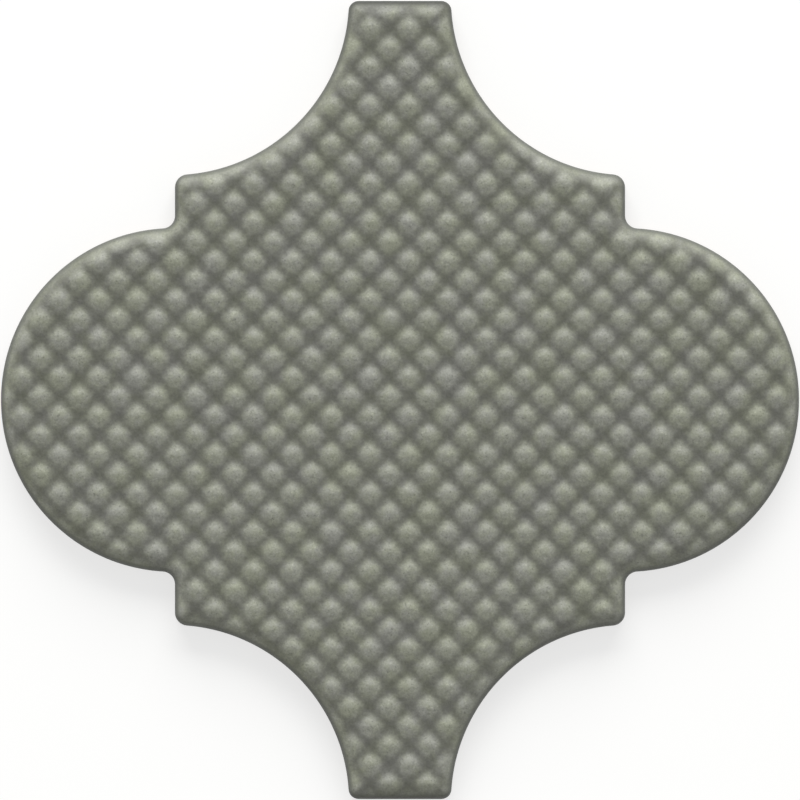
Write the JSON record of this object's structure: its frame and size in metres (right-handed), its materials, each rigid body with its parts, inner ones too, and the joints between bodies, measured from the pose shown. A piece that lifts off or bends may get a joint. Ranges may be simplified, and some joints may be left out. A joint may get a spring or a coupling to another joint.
{
  "type": "moroccan arabesque tile",
  "caption": "Lantern-shaped glazed ceramic wall tile with an all-over field of small domed studs in diagonal rows.",
  "frame": {"origin": "middle of the back, in the plane that the tile rests on", "axes": "+Z out of the decorated face, +Y towards the upper neck, +X towards the right lobe as seen on the face"},
  "size_m": [0.15, 0.15, 0.008],
  "materials": {
    "glazed_clay": "satin grey-green glaze over a pressed and fired clay body"
  },
  "bodies": {
    "root": {"tile": "glazed_clay"}
  },
  "joints": []
}
